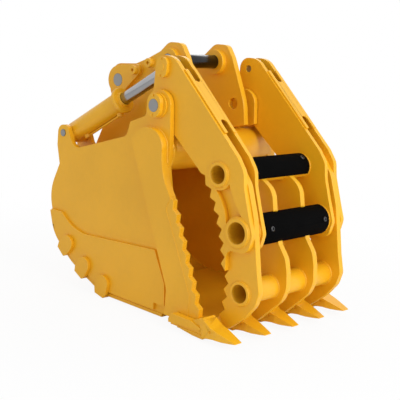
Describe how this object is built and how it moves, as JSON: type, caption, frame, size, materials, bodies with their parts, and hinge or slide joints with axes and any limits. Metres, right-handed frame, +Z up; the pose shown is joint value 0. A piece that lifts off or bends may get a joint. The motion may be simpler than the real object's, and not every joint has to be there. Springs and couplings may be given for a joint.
{
  "type": "excavator claw bucket",
  "caption": "Excavator digging bucket with a hinged claw in front of its mouth, driven by two hydraulic cylinders on its sides.",
  "frame": {"origin": "middle of the stick pin's axis, half way between the hinge ears", "axes": "+X across the bucket along the pins, +Y from the teeth to the heel, +Z up with the bucket's floor level"},
  "size_m": [1.104, 1.6514, 1.5301],
  "materials": {
    "yellow_paint": "semi-gloss machine enamel",
    "black_coating": "satin black",
    "pin_steel": "ground and hardened",
    "rod_chrome": "polished hard chrome",
    "bolt_steel": "plain",
    "bushing_bronze": "machined"
  },
  "bodies": {
    "bucket": {"wrapper_shell": "yellow_paint", "side_plate_left": "yellow_paint", "side_plate_right": "yellow_paint", "side_bar_left": "yellow_paint", "side_bar_right": "yellow_paint", "side_cutter_left": "yellow_paint", "side_cutter_right": "yellow_paint", "side_wear_plates": "yellow_paint", "heel_shrouds": "yellow_paint", "wear_wrapper": "yellow_paint", "base_edge": "yellow_paint", "lip_protectors": "yellow_paint", "tooth_adapters": "yellow_paint", "tooth_points": "yellow_paint", "tooth_pins": "bolt_steel", "torque_tube": "yellow_paint", "hinge_ear_left": "yellow_paint", "hinge_ear_right": "yellow_paint", "hinge_bosses": "yellow_paint", "pivot_ears": "yellow_paint", "pivot_pins": "pin_steel", "pivot_keepers": "yellow_paint", "keeper_screws": "bolt_steel", "cylinder_ears": "yellow_paint", "base_pins": "pin_steel"},
    "claw": {"claw_plate_left": "yellow_paint", "claw_plate_right": "yellow_paint", "arm_plate_outer_left": "yellow_paint", "arm_plate_outer_right": "yellow_paint", "arm_plate_inner_left": "yellow_paint", "arm_plate_inner_right": "yellow_paint", "arm_cover_left": "yellow_paint", "arm_cover_right": "yellow_paint", "claw_tine_left": "yellow_paint", "claw_tine_right": "yellow_paint", "upper_tube": "yellow_paint", "middle_tube": "yellow_paint", "lower_tube": "yellow_paint", "upper_guard": "black_coating", "middle_guard": "black_coating", "guard_bolts": "bolt_steel", "pivot_hubs": "yellow_paint", "pivot_bushings": "bushing_bronze", "rod_pins": "yellow_paint", "rod_pin_keepers": "yellow_paint", "rod_pin_screws": "bolt_steel"},
    "rod_left": {"cylinder_rod_left": "rod_chrome", "piston_left": "bolt_steel"},
    "rod_right": {"cylinder_rod_right": "rod_chrome", "piston_right": "bolt_steel"},
    "barrel_left": {"cylinder_barrel_left": "yellow_paint", "cylinder_gland_left": "yellow_paint", "hard_line_left": "yellow_paint"},
    "barrel_right": {"cylinder_barrel_right": "yellow_paint", "cylinder_gland_right": "yellow_paint", "hard_line_right": "yellow_paint"},
    "stick_pin": {"stick_pin": "pin_steel"},
    "link_pin": {"link_pin": "pin_steel"}
  },
  "joints": [
    {"name": "claw_pivot", "type": "hinge", "parent": "bucket", "child": "claw", "pos_m": [0, -0.158, -0.233], "axis": [-1, 0, 0], "range_deg": [0, 60]},
    {"name": "stick_pin_slide", "type": "slide", "parent": "bucket", "child": "stick_pin", "axis": [1, 0, 0], "range_m": [0, 0.75]},
    {"name": "link_pin_slide", "type": "slide", "parent": "bucket", "child": "link_pin", "axis": [1, 0, 0], "range_m": [0, 0.75]},
    {"name": "rod_swing_left", "type": "hinge", "parent": "claw", "child": "rod_left", "pos_m": [-0.363, -0.152, -0.024], "axis": [-1, 0, 0], "range_deg": [-61, 1]},
    {"name": "barrel_slide_left", "type": "slide", "parent": "rod_left", "child": "barrel_left", "axis": [0, -0.8537, 0.5207], "range_m": [-0.002, 0.212]},
    {"name": "rod_swing_right", "type": "hinge", "parent": "claw", "child": "rod_right", "pos_m": [0.363, -0.152, -0.024], "axis": [-1, 0, 0], "range_deg": [-61, 1]},
    {"name": "barrel_slide_right", "type": "slide", "parent": "rod_right", "child": "barrel_right", "axis": [0, -0.8537, 0.5207], "range_m": [-0.002, 0.212]}
  ],
  "couplings": [
    {"joint": "rod_swing_left", "follows": "claw_pivot", "ratio": -1},
    {"joint": "barrel_slide_left", "follows": "claw_pivot", "m_per_rad": 0.19966},
    {"joint": "rod_swing_right", "follows": "claw_pivot", "ratio": -1},
    {"joint": "barrel_slide_right", "follows": "claw_pivot", "m_per_rad": 0.19966}
  ]
}
